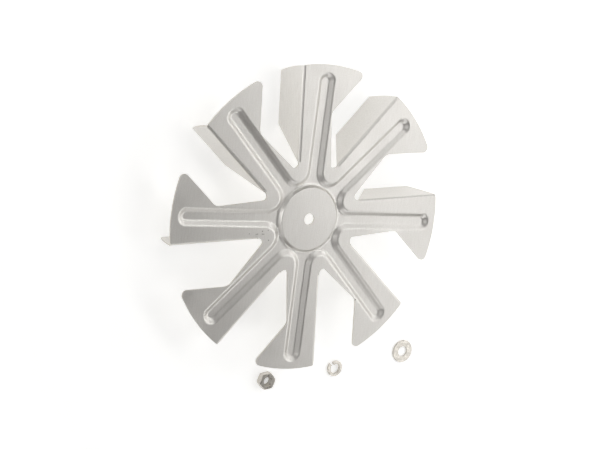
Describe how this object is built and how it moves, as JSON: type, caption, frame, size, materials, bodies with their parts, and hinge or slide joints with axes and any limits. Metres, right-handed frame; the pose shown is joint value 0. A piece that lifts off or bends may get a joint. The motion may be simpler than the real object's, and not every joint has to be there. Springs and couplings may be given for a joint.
{
  "type": "oven fan wheel with fixings",
  "caption": "Pressed steel fan wheel with radial blades and folded flanges for a fan oven, with its shaft nut, spring washer and plain washer lying beside it.",
  "frame": {"origin": "centre of the shaft hole on the front face of the wheel's hub", "axes": "+Z out of the wheel's front, away from the motor; one blade stands along +Y, and the fixings lie towards -Y"},
  "size_m": [0.1615, 0.1654, 0.019],
  "materials": {
    "wheel_steel": "satin aluminised sheet, finely mottled, lightly scratched",
    "fixing_steel": "bright zinc plating"
  },
  "bodies": {
    "root": {"fan_wheel": "wheel_steel", "fixing_nut": "fixing_steel", "spring_washer": "fixing_steel", "plain_washer": "fixing_steel"}
  },
  "joints": []
}
